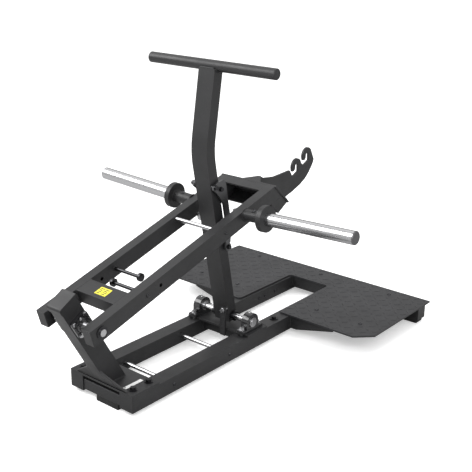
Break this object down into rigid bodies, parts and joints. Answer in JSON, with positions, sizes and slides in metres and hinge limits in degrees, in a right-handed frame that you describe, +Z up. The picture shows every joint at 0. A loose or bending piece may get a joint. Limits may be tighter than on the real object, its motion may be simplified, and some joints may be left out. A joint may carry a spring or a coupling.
{
  "type": "belt squat machine",
  "caption": "Plate-loaded lever squat machine: base rails, slotted foot platform, pivoting lever with plate horns and a belt hook plate, tilting T handle.",
  "frame": {"origin": "On the floor, under the middle of the bounding box in X and Y.", "axes": "+X across the machine to its right as seen by a lifter's back, with the pivot end at -Y and the foot platform at +Y; +Y runs from the pivot end to the platform; +Z is up."},
  "size_m": [1.2298, 1.595, 1.1332],
  "materials": {
    "black_paint": "satin black powder coat",
    "chrome": "polished chrome plate",
    "zinc_steel": "bright zinc plate",
    "bearing_housing": "gloss black enamel over cast iron",
    "rubber": "matt black rubber",
    "tread_plate": "matt black coat over fine raised dashes",
    "white_label": "blank glossy label",
    "yellow_label": "blank label with plain dark bars",
    "black_plastic": "matt black plastic",
    "dark_steel": "black oxide",
    "grey_steel": "grey phosphate"
  },
  "bodies": {
    "base_frame": {"rail_left": "black_paint", "rail_right": "black_paint", "frame_end_caps": "black_paint", "front_crossmember": "black_paint", "front_foot": "rubber", "base_plate": "black_paint", "base_plate_bolts": "dark_steel", "plate_label": "white_label", "riser_post": "black_paint", "riser_cap": "black_paint", "riser_gussets": "black_paint", "flange_bearing_left": "bearing_housing", "flange_bearing_right": "bearing_housing", "flange_bearing_bolts": "zinc_steel", "bearing_inserts": "chrome", "tie_rod_front": "chrome", "tie_rod_middle": "chrome", "bearing_cross_plate": "black_paint", "base_cross_tube": "black_paint", "pillow_block_left": "bearing_housing", "pillow_block_right": "bearing_housing", "pillow_block_bolts": "zinc_steel", "post_stop_bar": "black_paint", "post_stop_bolt": "zinc_steel", "platform_plate": "tread_plate", "platform_bolts": "dark_steel", "rear_beam": "black_paint", "rear_feet": "rubber", "wing_beams": "black_paint", "wing_brackets": "black_paint", "slot_crossmember": "black_paint", "rail_bolts": "dark_steel"},
    "lever": {"lever_arm_left": "black_paint", "lever_arm_right": "black_paint", "arm_nose_caps": "black_paint", "arm_bolts": "dark_steel", "lever_cross_tube": "black_paint", "caution_label": "yellow_label", "band_pegs": "dark_steel", "lever_rod": "chrome", "rest_pins": "zinc_steel", "pivot_shaft": "chrome", "pivot_washers": "dark_steel", "rear_channel": "black_paint", "rear_back_plate": "black_paint", "hook_plate": "black_paint", "hook_gussets": "black_paint", "horn_hubs": "black_paint", "horn_flanges": "black_paint", "horn_sleeve_left": "chrome", "horn_sleeve_right": "chrome", "horn_end_caps": "grey_steel"},
    "handle_post": {"handle_post": "black_paint", "handle_bar": "black_paint", "handle_bar_caps": "black_plastic", "post_shaft": "chrome", "shaft_collars": "dark_steel", "catch_plates": "grey_steel", "catch_lugs": "zinc_steel", "catch_bolts": "dark_steel"}
  },
  "joints": [
    {"name": "lever_pivot", "type": "hinge", "parent": "base_frame", "child": "lever", "pos_m": [0, -0.71292, 0.35], "axis": [1, 0, 0], "range_deg": [-20, 8]},
    {"name": "post_tilt", "type": "hinge", "parent": "base_frame", "child": "handle_post", "pos_m": [0, 0.06249, 0.1205], "axis": [1, 0, 0], "range_deg": [-8, 0]}
  ]
}
